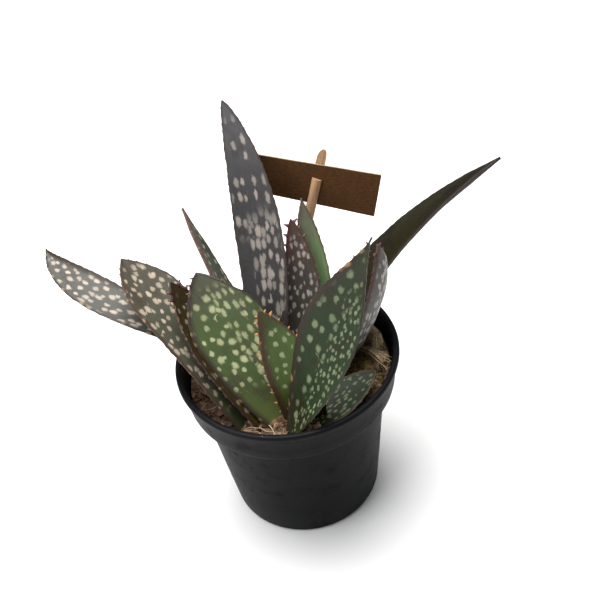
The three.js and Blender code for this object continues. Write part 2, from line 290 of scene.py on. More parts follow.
add_piece("soil_bed", bm, [peat], "soil")


def somewhere(reach):
    """A random place on the soil, in mm."""
    turn = chance.uniform(0, 2 * math.pi)
    out = reach * math.sqrt(chance.random())
    return out * math.cos(turn), out * math.sin(turn)


def lump(bm, x, y, size, flat, sink, corners):
    """One crumb or chip: a small uneven ball, squashed and turned, half sunk in the soil."""
    angle = chance.uniform(0, 6.28)
    turn = Matrix.Rotation(angle, 4, Vector([chance.gauss(0, 1) for _ in range(3)]))
    shape = Matrix.Diagonal((size, size * chance.uniform(0.5, 0.95), size * flat, 1))
    lie = Matrix.Rotation(chance.gauss(0, 0.5), 4, "X") @ Matrix.Rotation(chance.gauss(0, 0.5), 4, "Y")
    place = Matrix.Translation((x, y, soil_level(x, y) + size * sink))
    ball = bmesh.ops.create_icosphere(bm, subdivisions=corners, radius=1.0)["verts"]
    shift = Vector((x, y, size)) * 3.0
    for v in ball:
        v.co *= 1 + 0.35 * noise.noise(v.co * 1.6 + shift)
    bmesh.ops.transform(bm, verts=ball, matrix=Matrix.Scale(MM, 4) @ place @ lie @ shape @ turn)


bm = bmesh.new()
for _ in range(900):
    x, y = somewhere(46.2)
    lump(bm, x, y, chance.uniform(0.4, 1.5), 0.8, 0.3, 1)
add_piece("peat_crumbs", bm, [soil_finish("peat_crumb", (0.045, 0.027, 0.016, 1), (0.195, 0.117, 0.07, 1),
                                          (0.36, 0.25, 0.165, 1), 260, 0.0006)])
bm = bmesh.new()
for _ in range(230):
    x, y = somewhere(45)
    lump(bm, x, y, chance.uniform(1.4, 3.6), chance.uniform(0.25, 0.5), 0.25, 2)
add_piece("bark_chips", bm, [soil_finish("pale_bark", (0.07, 0.042, 0.025, 1), (0.27, 0.165, 0.105, 1),
                                         (0.44, 0.31, 0.21, 1), 420, 0.0007)], smooth=False)


def strands(name, finish, paths):
    """Thin round fibres along paths of (x, y, z, radius) in mm, as one mesh."""
    lines = bpy.data.curves.new(name + "_lines", "CURVE")
    lines.dimensions = "3D"
    lines.bevel_depth = MM
    lines.bevel_resolution = 1
    lines.use_fill_caps = True
    for path in paths:
        spline = lines.splines.new("POLY")
        spline.points.add(len(path) - 1)
        for point, (x, y, z, radius) in zip(spline.points, path):
            point.co = (x * MM, y * MM, z * MM, 1)
            point.radius = radius
    holder = bpy.data.objects.new(name + "_lines", lines)
    bpy.context.scene.collection.objects.link(holder)
    bpy.context.view_layer.update()
    bm = bmesh.new()
    bm.from_mesh(holder.evaluated_get(bpy.context.evaluated_depsgraph_get()).to_mesh())
    bpy.data.objects.remove(holder)
    return add_piece(name, bm, [finish])


def curl(x, y, length, radius, lift, steps=9):
    """A fibre that wanders over the soil from a place, a little above it."""
    heading = chance.uniform(0, 2 * math.pi)
    turn = chance.gauss(0, 0.22)
    path = []
    for i in range(steps):
        share = i / (steps - 1)
        high = soil_level(x, y) + 0.3 + lift * math.sin(math.pi * share) * (1 + 0.3 * math.sin(7 * share + x))
        path.append((x, y, high, radius * (1 - 0.5 * share)))
        heading += turn + chance.gauss(0, 0.2)
        x += length / steps * math.cos(heading)
        y += length / steps * math.sin(heading)
        if math.hypot(x, y) > 47:
            break
    return path


def fibre_finish(name, dark, light):
    finish, tree, body = new_finish(name, Roughness=0.75, Specular_IOR_Level=0.3)
    mix = ramp_to(tree, cloud(tree, own_place(tree), 170.0), 0.35, 0.65)
    tree.links.new(blend_colour(tree, mix, dark, light), body.inputs["Base Color"])
    return finish


coir = fibre_finish("coir_fibre", (0.1, 0.058, 0.03, 1), (0.34, 0.225, 0.13, 1))
strands("coir_fibres", coir, [curl(*somewhere(44), chance.uniform(4, 17), chance.uniform(0.09, 0.2),
                                   chance.uniform(0.2, 1.6)) for _ in range(520)])
root_mat = []
while len(root_mat) < 260:
    x, y = 40 + chance.gauss(0, 5), 6 + chance.gauss(0, 10)
    if math.hypot(x, y) < 46:
        root_mat.append(curl(x, y, chance.uniform(3, 9), chance.uniform(0.1, 0.19),
                             chance.uniform(0.5, 2), 6))
strands("root_mat", fibre_finish("pale_roots", (0.3, 0.2, 0.14, 1), (0.72, 0.55, 0.42, 1)), root_mat)
straw = fibre_finish("pale_straw", (0.36, 0.25, 0.14, 1), (0.66, 0.51, 0.34, 1))
loose_straw = [curl(*somewhere(43), chance.uniform(6, 20), chance.uniform(0.18, 0.34),
                    chance.uniform(0.6, 2.2)) for _ in range(46)]
for route, count, thick in (
    (((35, 1, 84), (38.5, -6, 87), (41.5, -13, 90.6), (43.8, -19, 92.6), (46.4, -25, 93)), 15, 0.26),
    (((-24, -35, 82), (-19, -39, 86), (-16, -44, 91), (-14.6, -47.4, 92.7), (-11, -49.2, 93)), 3, 0.16),
    (((39, 14, 85), (42, 9, 88), (44, 2, 88.5), (43, -5, 88), (40, -10, 87)), 14, 0.22),
    (((30, 16, 84), (36, 12, 87), (40, 6, 88), (42, -2, 87.6), (41, -9, 86.5)), 16, 0.2),
):
    for _ in range(count):
        reach = chance.uniform(0.55, 1.0)
        spread = [chance.gauss(0, 0.9) for _ in range(4)]
        path = []
        for i in range(17):
            share = i / 16 * reach * (len(route) - 1)
            leg = min(len(route) - 2, int(share))
            spot = Vector(route[leg]).lerp(Vector(route[leg + 1]), share - leg)
            fan = 0.5 + i / 11
            high = spot.z + abs(spread[2]) * 0.5 + 0.4 * math.sin(i * 0.7 + spread[3] * 3)
            path.append((spot.x + spread[0] * fan, spot.y + spread[1] * fan, high, thick * (1 - i / 24)))
        loose_straw.append(path)
strands("straw_bits", straw, loose_straw)
moss = fibre_finish("dry_moss", (0.08, 0.065, 0.016, 1), (0.36, 0.26, 0.085, 1))
tufts = []
for _ in range(900):
    x, y = 36 + chance.gauss(0, 5), -6 + chance.gauss(0, 7)
    if math.hypot(x, y) < 46:
        tufts.append(curl(x, y, chance.uniform(1.5, 4.5), chance.uniform(0.1, 0.2),
                          chance.uniform(0.8, 2.4), 5))
strands("moss_tufts", moss, tufts)


# Stems
# Two short stems, mostly under the soil, wrapped in the dry papery feet of old leaves.
STEMS = {
    "front": {"centre": (-8, -28), "radii": (13, 6.5), "dome": 3.5},
    "rear": {"centre": (1, -6), "radii": (13.5, 8), "dome": 6},
}


def papery_finish():
    finish, tree, body = new_finish("papery_stem", Roughness=0.85, Specular_IOR_Level=0.25)
    place = own_place(tree)
    fine = put(tree, "ShaderNodeMapping", {"Vector": place, "Scale": (520, 520, 90)}).outputs[0]
    lines = cloud(tree, fine, 1.0, 5.0)
    patches = cloud(tree, place, 160.0, 3.0)
    dark, light = (0.075, 0.036, 0.016, 1), (0.2, 0.125, 0.064, 1)
    tone = blend_colour(tree, ramp_to(tree, lines, 0.35, 0.65), dark, light)
    tone = blend_colour(tree, ramp_to(tree, patches, 0.5, 0.7), tone, (0.05, 0.025, 0.012, 1))
    tree.links.new(tone, body.inputs["Base Color"])
    raise_skin(tree, body, lines, 0.8, 0.0006)
    return finish


papery = papery_finish()
for side, stem in STEMS.items():
    bm = turned_body([(0, 70.6), (0.96, 70.6), (1, 71), (1, 79), (0.97, 80.6), (0.86, 82.4), (0.68, 84),
                      (0.42, 85), (0.18, 85.4), (0, 85.4)], 72)
    for v in bm.verts:
        lift = max(0.0, v.co.z / MM - 79.5) * (stem["dome"] / 6 - 1)
        v.co.z += lift * MM
        ridge = 1 + 0.03 * math.sin(math.atan2(v.co.y, v.co.x) * 17 + v.co.z * 900)
        v.co.x *= stem["radii"][0] * 0.98 * (ridge if v.co.z > 0.079 else 1)
        v.co.y *= stem["radii"][1] * 0.98 * (ridge if v.co.z > 0.079 else 1)
    bmesh.ops.translate(bm, verts=bm.verts, vec=Vector((*stem["centre"], 0)) * MM)
    add_piece(f"stem_{side}_skin", bm, [papery], f"stem_{side}")


# Leaves
# Fleshy leaves that grow straight from the stems: hollow above and rounded below, with a hard
# coloured margin that carries short curved teeth, and with pale spots in rows across the blade.
# The sizes are those of the solids: mm and degrees, each leaf starting on the soil line.
LEAF_START = 80
BLADE_ROOT = 5
BLADE_RINGS = 140
BLADE_SIDES = 40
# Two values in band and spines are for the left and right margin, and for the foot and tip. Each
# row of spots gives its width, length, size and share, then its reach across and along the leaf.
LEAVES = {
    "leaf_broad_right": dict(
        base=(-4.6, -40.4), heading=12, turn=-18, rise=68, bend=-3, length=106, roll=-2, twist=-60,
        width=29, foot=0.29, widest=0.48, taper=1.38, thickness=6, tooth=1.5, spines=(0.1, 0.62),
        tones=((0.0163, 0.0246, 0.0072), (0.0155, 0.0285, 0.0092), (0.0262, 0.0348, 0.0145)),
        blush=(0.021, 0.0166, 0.0055), spot=(0.204, 0.243, 0.142), margin=(0.0308, 0.0222, 0.0149),
        band=(4, 0.4), scar=1.9, callus=(0.36, 0.2, 0.09), barb=(0.1, 0.042, 0.03), bloom=0.04,
        spots=[(5.6, 7.6, 0.29, 1.1, -0.98, 0.15, 0, 0.9), (2.1, 4, 0.36, 1.1, 0.05, 1.3, 0, 0.76),
               (3.6, 5.6, 0.3, 0.65, 0.1, 1.3, 0.68, 0.97)]),
    "leaf_small_front": dict(
        base=(3.6, -33.6), heading=115, turn=30, rise=83, bend=-21, length=60, roll=30, twist=18,
        width=21.5, foot=0.86, widest=0.41, taper=0.8, thickness=4, tooth=1.5, spines=(0.85, 1),
        tones=((0.075, 0.06, 0.02), (0.0789, 0.125, 0.0278), (0.043, 0.054, 0.0185)),
        blush=(0.0565, 0.06, 0.016), spot=(0.45, 0.522, 0.288), margin=(0.0675, 0.035, 0.0195),
        band=(3.6, 0.9), scar=1.1, callus=(0.5, 0.25, 0.08), barb=(0.55, 0.25, 0.08),
        spots=[(4, 5.6, 0.3, 0.95, -0.7, 1.3, 0.05, 0.84)]),
    "leaf_big_front": dict(
        base=(-3, -33), heading=134, turn=9, rise=57, bend=11, length=81, roll=34, twist=27,
        width=35, foot=0.54, widest=0.61, taper=0.8, thickness=8, tooth=1.2, spines=(0.2, 0.95),
        tones=((0.1, 0.128, 0.037), (0.073, 0.109, 0.0345), (0.094, 0.095, 0.0565)),
        blush=(0.0704, 0.0698, 0.035), spot=(0.588, 0.617, 0.345), margin=(0.0475, 0.0324, 0.025),
        band=(2.9, 0.8), scar=1.5, callus=(0.33, 0.23, 0.12), barb=(0.2, 0.11, 0.09),
        spots=[(4.3, 5.2, 0.38, 0.84, -1.3, 0.1, 0.3, 0.88), (3.3, 6.6, 0.4, 0.97, 0, 1.3, 0.2, 0.88)]),
    "leaf_low_right": dict(
        base=(3, -35), heading=19, turn=3, rise=16, bend=-1, length=39, roll=0, twist=-1,
        width=20, foot=0.65, widest=0.4, taper=0.77, thickness=4, tooth=1.2, spines=(0.3, 0.5),
        tones=((0.0095, 0.0133, 0.0032), (0.0095, 0.0165, 0.0042), (0.0125, 0.0165, 0.005)),
        blush=(0.0112, 0.0117, 0.00424), spot=(0.124, 0.165, 0.093), margin=(0.0576, 0.0365, 0.0274),
        band=(0.8, 1), scar=0.7, callus=(0.3, 0.2, 0.12), barb=(0.3, 0.16, 0.12), bloom=0.02, gloss=0.16,
        spots=[(2, 3.6, 0.36, 1, -1.3, 1.3, 0, 0.95)]),
    "leaf_broad_left": dict(
        base=(-20, -26), heading=136, turn=-5, rise=63, bend=-38, length=93, roll=0, twist=-13,
        width=28, foot=0.74, widest=0.73, taper=0.85, thickness=7, tooth=1.5, spines=(0.22, 0.55),
        tones=((0.058, 0.073, 0.031), (0.0759, 0.0756, 0.0525), (0.0726, 0.0612, 0.0455)),
        blush=(0.0594, 0.0468, 0.035), spot=(0.54, 0.454, 0.345), margin=(0.058, 0.0323, 0.0213),
        band=(1.5, 0.9), scar=1.1, callus=(0.34, 0.25, 0.15), barb=(0.14, 0.05, 0.035),
        spots=[(3.4, 4.8, 0.39, 1.12, -1.3, 1.3, 0.14, 0.94)]),
    "leaf_inner_left": dict(
        base=(-13, -28), heading=136, turn=-1, rise=56, bend=-2, length=75, roll=-4, twist=1,
        width=24, foot=0.7, widest=0.49, taper=0.77, thickness=5, tooth=1.6, spines=(0.5, 1.15),
        tones=((0.044, 0.04, 0.0066), (0.0374, 0.03, 0.0066), (0.033, 0.022, 0.0066)),
        blush=(0.04, 0.0225, 0.009), spot=(0.304, 0.264, 0.176), margin=(0.0405, 0.018, 0.0117),
        band=(1.6, 1.4), scar=0.8, callus=(0.35, 0.22, 0.1), barb=(0.11, 0.035, 0.025),
        spots=[(3.8, 5.4, 0.34, 0.66, -1.3, 1.3, 0.1, 0.9)]),
    "leaf_centre_violet": dict(
        base=(4, -13), heading=56, turn=42, rise=65, bend=-12, length=78, roll=-5, twist=0,
        width=18, foot=0.7, widest=0.43, taper=0.69, thickness=5, tooth=1.6, spines=(0.45, 1.1),
        tones=((0.045, 0.0414, 0.024), (0.045, 0.0386, 0.032), (0.0765, 0.046, 0.0336)),
        blush=(0.0405, 0.0368, 0.036), spot=(0.36, 0.31, 0.28), margin=(0.076, 0.0307, 0.0252),
        band=(2.2, 0.8), scar=0.6, callus=(0.3, 0.14, 0.09), barb=(0.13, 0.045, 0.035),
        spots=[(2.3, 4.4, 0.38, 1.15, -1.3, 1.3, 0, 0.93)]),
    "leaf_edge_right": dict(
        base=(10, -11), heading=16, turn=-8, rise=27, bend=68, length=80, roll=39, twist=13,
        width=20, foot=0.7, widest=0.49, taper=0.78, thickness=6, tooth=1.7, spines=(0.35, 0.95),
        tones=((0.088, 0.0855, 0.0645), (0.115, 0.108, 0.098), (0.118, 0.108, 0.098)),
        blush=(0.068, 0.057, 0.0495), spot=(0.54, 0.53, 0.48), margin=(0.062, 0.032, 0.026),
        band=(1.4, 0.8), scar=0.6, callus=(0.3, 0.16, 0.1), barb=(0.15, 0.04, 0.03),
        spots=[(1.5, 5, 0.43, 1.15, -1.3, 1.3, 0, 0.95)]),
    "leaf_plain_green": dict(
        base=(11, -5), heading=63, turn=31, rise=63, bend=1, length=82, roll=-1, twist=-1,
        width=17, foot=0.7, widest=0.46, taper=0.89, thickness=5, tooth=1.2, spines=(0.22, 0.35),
        tones=((0.13, 0.216, 0.06), (0.143, 0.216, 0.096), (0.13, 0.115, 0.084)),
        blush=(0.13, 0.162, 0.096), spot=(0.3, 0.34, 0.24), margin=(0.091, 0.0595, 0.042),
        band=(0.7, 0.7), scar=0.5, callus=(0.25, 0.17, 0.09), barb=(0.16, 0.07, 0.05),
        spots=[(5, 7, 0.2, 0.06, -1.3, 1.3, 0, 0.9)]),
    "leaf_tall_violet": dict(
        base=(-11, -7), heading=63, turn=47, rise=66, bend=-13, length=131, roll=22, twist=12,
        width=25, foot=0.69, widest=0.42, taper=0.7, thickness=7, tooth=1.3, spines=(0.22, 0.38),
        tones=((0.016, 0.0145, 0.0095), (0.042, 0.0395, 0.041), (0.082, 0.08, 0.085)),
        blush=(0.042, 0.0378, 0.0372), spot=(0.35, 0.31, 0.275), margin=(0.048, 0.0314, 0.0288),
        band=(0.8, 0.9), scar=0.7, callus=(0.34, 0.24, 0.18), barb=(0.09, 0.045, 0.04),
        spots=[(3.3, 6.8, 0.5, 1.25, -0.42, 1.3, 0, 0.6), (4.2, 9, 0.33, 0.62, -1.3, 1.3, 0.55, 0.93)]),
    "leaf_long_right": dict(
        base=(8, -3), heading=33, turn=-30, rise=51, bend=-29, length=133, roll=0, twist=12,
        width=20, foot=0.7, widest=0.35, taper=0.84, thickness=6, tooth=1.5, spines=(0.14, 0.2),
        tones=((0.0092, 0.0094, 0.0009), (0.0102, 0.0084, 0.0013), (0.00792, 0.00542, 0.00181)),
        blush=(0.00648, 0.0033, 0.00108), spot=(0.18, 0.144, 0.108), margin=(0.0223, 0.0146, 0.0109),
        band=(1, 1.2), scar=0.6, callus=(0.16, 0.1, 0.06), barb=(0.1, 0.05, 0.04), bloom=0.008, gloss=0.13,
        spots=[(6, 9, 0.2, 0.05, -1.3, 1.3, 0, 0.9)]),
    "leaf_long_left": dict(
        base=(-9, 5), heading=200, turn=-92, rise=53, bend=-63, length=141, roll=-4, twist=15,
        width=18, foot=0.62, widest=0.62, taper=1.0, thickness=6, tooth=1.3, spines=(0.25, 0.45),
        tones=((0.0502, 0.0519, 0.0329), (0.0752, 0.0752, 0.0658), (0.1, 0.0986, 0.0931)),
        blush=(0.0684, 0.059, 0.0504), spot=(0.504, 0.426, 0.353), margin=(0.027, 0.018, 0.012),
        band=(0.8, 2.8), scar=1.3, callus=(0.3, 0.22, 0.14), barb=(0.16, 0.07, 0.05),
        spots=[(3.2, 5.8, 0.38, 1.15, -1.3, 1.3, 0.2, 0.93)]),
    "leaf_thin_back": dict(
        base=(-7, -3), heading=123, turn=-2, rise=51, bend=4, length=89, roll=-28, twist=-12,
        width=12, foot=0.7, widest=0.43, taper=0.91, thickness=4, tooth=1.1, spines=(0.25, 0.5),
        tones=((0.05, 0.055, 0.03), (0.05, 0.06, 0.036), (0.075, 0.07, 0.055)),
        blush=(0.05, 0.04, 0.03), spot=(0.38, 0.38, 0.3), margin=(0.11, 0.055, 0.04),
        band=(1.1, 0.8), scar=0.6, callus=(0.3, 0.2, 0.12), barb=(0.14, 0.05, 0.035),
        spots=[(2.4, 4.8, 0.36, 0.76, -1.3, 1.3, 0, 0.93)]),
    "leaf_small_back": dict(
        base=(12, -1), heading=29, turn=-10, rise=24, bend=-11, length=39, roll=10, twist=7,
        width=11, foot=0.7, widest=0.43, taper=0.91, thickness=4, tooth=1.0, spines=(0.25, 0.5),
        tones=((0.04, 0.045, 0.025), (0.055, 0.06, 0.04), (0.08, 0.08, 0.06)),
        blush=(0.05, 0.045, 0.03), spot=(0.22, 0.24, 0.18), margin=(0.1, 0.06, 0.045),
        band=(0.8, 0.8), scar=0.5, callus=(0.25, 0.16, 0.1), barb=(0.14, 0.06, 0.04),
        spots=[(2.2, 4, 0.34, 0.5, -1.3, 1.3, 0, 0.9)]),
}


def blade_frame(leaf, share):
    """Directions along, across and out of the upper face at a share of the length."""
    heading = math.radians(leaf["heading"] + leaf["turn"] * share)
    rise = math.radians(leaf["rise"] + leaf["bend"] * share)
    roll = math.radians(leaf["roll"] + leaf["twist"] * share)
    along = Vector((math.cos(rise) * math.cos(heading), math.cos(rise) * math.sin(heading), math.sin(rise)))
    up = Vector((-math.sin(rise) * math.cos(heading), -math.sin(rise) * math.sin(heading), math.cos(rise)))
    side = along.cross(up)
    return along, side * math.cos(roll) + up * math.sin(roll), up * math.cos(roll) - side * math.sin(roll)


def walk_spine(leaf):
    """Ring places from a little below the soil line to the tip: (share, point in mm, frame)."""
    first = -BLADE_ROOT / leaf["length"]
    at = Vector((*leaf["base"], LEAF_START)) - blade_frame(leaf, 0)[0] * BLADE_ROOT
    places = []
    fine = 4
    for i in range(BLADE_RINGS * fine + 1):
        share = first + (1 - first) * i / (BLADE_RINGS * fine)
        if i % fine == 0:
            places.append((share, at.copy(), blade_frame(leaf, max(0.0, share))))
        at += blade_frame(leaf, max(0.0, share))[0] * leaf["length"] * (1 - first) / (BLADE_RINGS * fine)
    return places


def blade_width(leaf, share):
    share = min(1.0, max(0.0, share))
    foot, widest = leaf["foot"], leaf["widest"]
    if share < widest:
        return leaf["width"] * (foot + (1 - foot) * math.sin(math.pi / 2 * share / widest))
    run = math.cos(math.pi / 2 * (share - widest) / (1 - widest))
    return leaf["width"] * max(0.0, run) ** leaf["taper"]


def tooth_places(leaf, hand):
    """Shares of the length at which the margin on one hand carries a tooth."""
    rng = random.Random(leaf["length"] * 7 + leaf["width"] + hand)
    share = 0.1 + 0.03 * rng.random()
    places = []
    while share < 0.985:
        places.append(share)
        share += (5.6 - 2.8 * share ** 2) * rng.uniform(0.7, 1.3) / leaf["length"]
    return places


def add_tooth(bm, leaf, ring, hand, share, swell, layers):
    """One tooth on a margin: a short cone, hooked towards the tip."""
    _, at, (along, side, up) = ring
    half = blade_width(leaf, share) / 2
    low, high = leaf["spines"]
    grown = min(1.0, max(0.0, (share - 0.76) / 0.2))
    size = leaf["tooth"] * (low + (high - low) * grown * grown * (3 - 2 * grown)) * swell
    out = (side * hand + along * 0.35).normalized()
    root = at + side * hand * (half - 0.15)
    cone = bmesh.ops.create_cone(bm, cap_ends=True, segments=8, radius1=0.62 * size,
                                 radius2=0.16 * size, depth=size * 1.15)["verts"]
    for v in cone:
        rise = v.co.z / (size * 1.15) + 0.5
        hook = v.co.x + 0.35 * size * rise ** 2
        v.co = (root + out * (v.co.z + size * 0.5) + along * hook + up * v.co.y * 0.62) * MM
        v[layers[0]] = Vector((hand * half, share * leaf["length"], -0.2 - rise * 1.6))
        v[layers[1]] = Vector((hand, share, 1.0))
    for face in {f for v in cone for f in v.link_faces}:
        face.material_index = 1


def grow_leaf(leaf):
    """A rolled grid closed into a lens-shaped blade, with a tooth at each margin place."""
    length = leaf["length"]
    walk = walk_spine(leaf)
    teeth = {hand: tooth_places(leaf, hand) for hand in (-1, 1)}
    rng = random.Random(length + 5)
    marks = {hand: [(t, rng.random() ** 2.2 * 1.3 * most) for t in teeth[hand]]
             for hand, most in ((-1, 1), (1, 0.35))}
    seed = Vector((length, leaf["width"], leaf["heading"])) * 0.37
    bm = bmesh.new()
    blade = bm.verts.layers.float_vector.new("blade")
    place = bm.verts.layers.float_vector.new("place")
    scar = bm.verts.layers.float_vector.new("scar")
    bmesh.ops.create_grid(bm, x_segments=BLADE_SIDES, y_segments=BLADE_RINGS, size=1)
    rows = {}
    for v in bm.verts:
        rows.setdefault(round(v.co.y, 5), []).append(v)
    heights = sorted(rows)
    for row, height in enumerate(heights):
        share, at, (along, side, up) = walk[round(row * BLADE_RINGS / (len(heights) - 1))]
        half = max(0.35, blade_width(leaf, share) / 2)
        deep = min(leaf["thickness"] * (1 - 0.6 * max(0.0, share)), half * 0.8)
        hollow = min(0.14 * half, 1.6)
        for v in rows[height]:
            turn = math.pi * v.co.x
            u = math.copysign(abs(math.sin(turn)) ** 0.82, math.sin(turn))
            above = -math.cos(turn) > 0
            hand = 1 if u > 0 else -1
            knob = sum(math.exp(-((share - t) * length / 0.9) ** 2) for t in teeth[hand])
            lip = 0.5 * math.sqrt(max(0.0, 1 - abs(u) ** 14))
            wave = 0.22 * noise.noise(Vector((u * 2.2, share * length / 9, 0)) + seed)
            if above:
                lift = lip - hollow * (1 - u * u) + wave
            else:
                lift = -lip - deep * (1 - u * u) ** 0.8 + wave
            ripple = 0.25 * noise.noise(Vector((hand * 5, share * length / 5, 3)) + seed)
            swell = 0.3 * min(1.0, knob) * min(1.0, half / 3) + ripple
            reach = u * (half + abs(u) ** 10 * swell)
            v.co = (at + side * reach + up * lift) * MM
            v[blade] = Vector((u * half, share * length, (1 - abs(u)) * half))
            v[place] = Vector((u, share, 1.0 if above else 0.0))
            inset = (1 - abs(u)) * half / leaf["scar"]
            mark = sum(m * math.exp(-((share - t) * length / leaf["scar"]) ** 2) for t, m in marks[hand])
            v[scar] = Vector((mark * math.exp(-inset * inset), 0, 0))
    bmesh.ops.remove_doubles(bm, verts=bm.verts, dist=1e-7)
    ends = [e for e in bm.edges if e.is_boundary]
    bmesh.ops.holes_fill(bm, edges=ends, sides=0)
    for hand in (-1, 1):
        for share in teeth[hand]:
            step = round((share * length + BLADE_ROOT) / (length + BLADE_ROOT) * BLADE_RINGS)
            ring = walk[min(BLADE_RINGS, step)]
            add_tooth(bm, leaf, ring, hand, share, rng.uniform(0.7, 1.2), (blade, place))
    bmesh.ops.recalc_face_normals(bm, faces=bm.faces)
    return bm


def spots_group():
    """Pale spots in the leaf's own flat coordinates: a mask from 0, ground, to 1, spot."""
    group = bpy.data.node_groups.new("leaf_spots", "ShaderNodeTree")
    group.interface.new_socket("Blade", in_out="INPUT", socket_type="NodeSocketVector")
    for name in ("Wide", "Long", "Size", "Amount", "Seed"):
        group.interface.new_socket(name, in_out="INPUT", socket_type="NodeSocketFloat")
    group.interface.new_socket("Mask", in_out="OUTPUT", socket_type="NodeSocketFloat")
    ends = group.nodes.new("NodeGroupInput"), group.nodes.new("NodeGroupOutput")
    given = ends[0].outputs
    flat = parts(group, given["Blade"])
    drift = put(group, "ShaderNodeTexNoise", {"Vector": given["Blade"], "Scale": 0.55}).outputs["Color"]
    sway = put(group, "ShaderNodeSeparateColor", {0: drift}).outputs
    cell = []
    for axis, (reach, size) in enumerate(((1.6, "Wide"), (2.2, "Long"))):
        moved = maths(group, "ADD", flat[axis], times(group, sway[axis], reach))
        cell.append(maths(group, "ADD", maths(group, "DIVIDE", moved, given[size]), given["Seed"]))
    where = put(group, "ShaderNodeCombineXYZ", dict(enumerate(cell))).outputs[0]
    cells = put(group, "ShaderNodeTexVoronoi", {"Vector": where, "Scale": 1.0, "Randomness": 0.78},
                voronoi_dimensions="2D")
    own = put(group, "ShaderNodeSeparateColor", {0: cells.outputs["Color"]}).outputs
    reach = times(group, given["Size"], maths(group, "MULTIPLY_ADD", own[0], 0.55, 0.72))
    mask = ramp_to(group, cells.outputs["Distance"], reach, times(group, reach, 0.42))
    crowd = ramp_to(group, cloud(group, given["Blade"], 0.075, 1.0), 0.36, 0.6, 0.6, 1.25)
    there = maths(group, "LESS_THAN", own[1], times(group, given["Amount"], crowd))
    clear = maths(group, "MULTIPLY_ADD", own[2], 0.4, 0.62)
    group.links.new(times(group, times(group, mask, clear), there), ends[1].inputs[0])
    return group


def skin_group():
    """Fine lengthwise lines, soft patches and a waxy bloom, on the leaf's own coordinates."""
    group = bpy.data.node_groups.new("leaf_skin", "ShaderNodeTree")
    group.interface.new_socket("Blade", in_out="INPUT", socket_type="NodeSocketVector")
    for name in ("Lines", "Patches", "Bloom", "Pores"):
        group.interface.new_socket(name, in_out="OUTPUT", socket_type="NodeSocketFloat")
    ends = group.nodes.new("NodeGroupInput"), group.nodes.new("NodeGroupOutput")
    flat = ends[0].outputs["Blade"]
    drawn = put(group, "ShaderNodeMapping", {"Vector": flat, "Scale": (2.4, 0.09, 0.0)}).outputs[0]
    found = {
        "Lines": cloud(group, drawn, 1.0, 4.0),
        "Patches": cloud(group, flat, 0.09, 3.0),
        "Bloom": cloud(group, flat, 0.4, 6.0, 0.65),
        "Pores": cloud(group, flat, 5.0),
    }
    for name, value in found.items():
        group.links.new(value, ends[1].inputs[name])
    return group


leaf_spots = spots_group()
leaf_skin = skin_group()


def between(tree, value, low, high, soft, soft_end):
    """1 between two values and 0 outside them, with soft borders."""
    return times(tree, ramp_to(tree, value, low - soft, low + soft),
                 ramp_to(tree, value, high + soft_end, high - soft_end))


def spot_mask(tree, leaf, flat, u, share):
    """Every row of a leaf's spots, in one mask."""
    masks = None
    for number, (wide, tall, size, amount, low, high, start, end) in enumerate(leaf["spots"]):
        mask = put(tree, "ShaderNodeGroup", {"Blade": flat, "Wide": wide, "Long": tall, "Size": size,
                                             "Amount": amount, "Seed": leaf["length"] * 0.31 + number * 9},
                   node_tree=leaf_spots).outputs[0]
        mask = times(tree, times(tree, mask, between(tree, u, low, high, 0.08, 0.08)),
                     between(tree, share, start, end, 0.06, 0.05))
        masks = mask if masks is None else maths(tree, "MAXIMUM", masks, mask)
    return masks


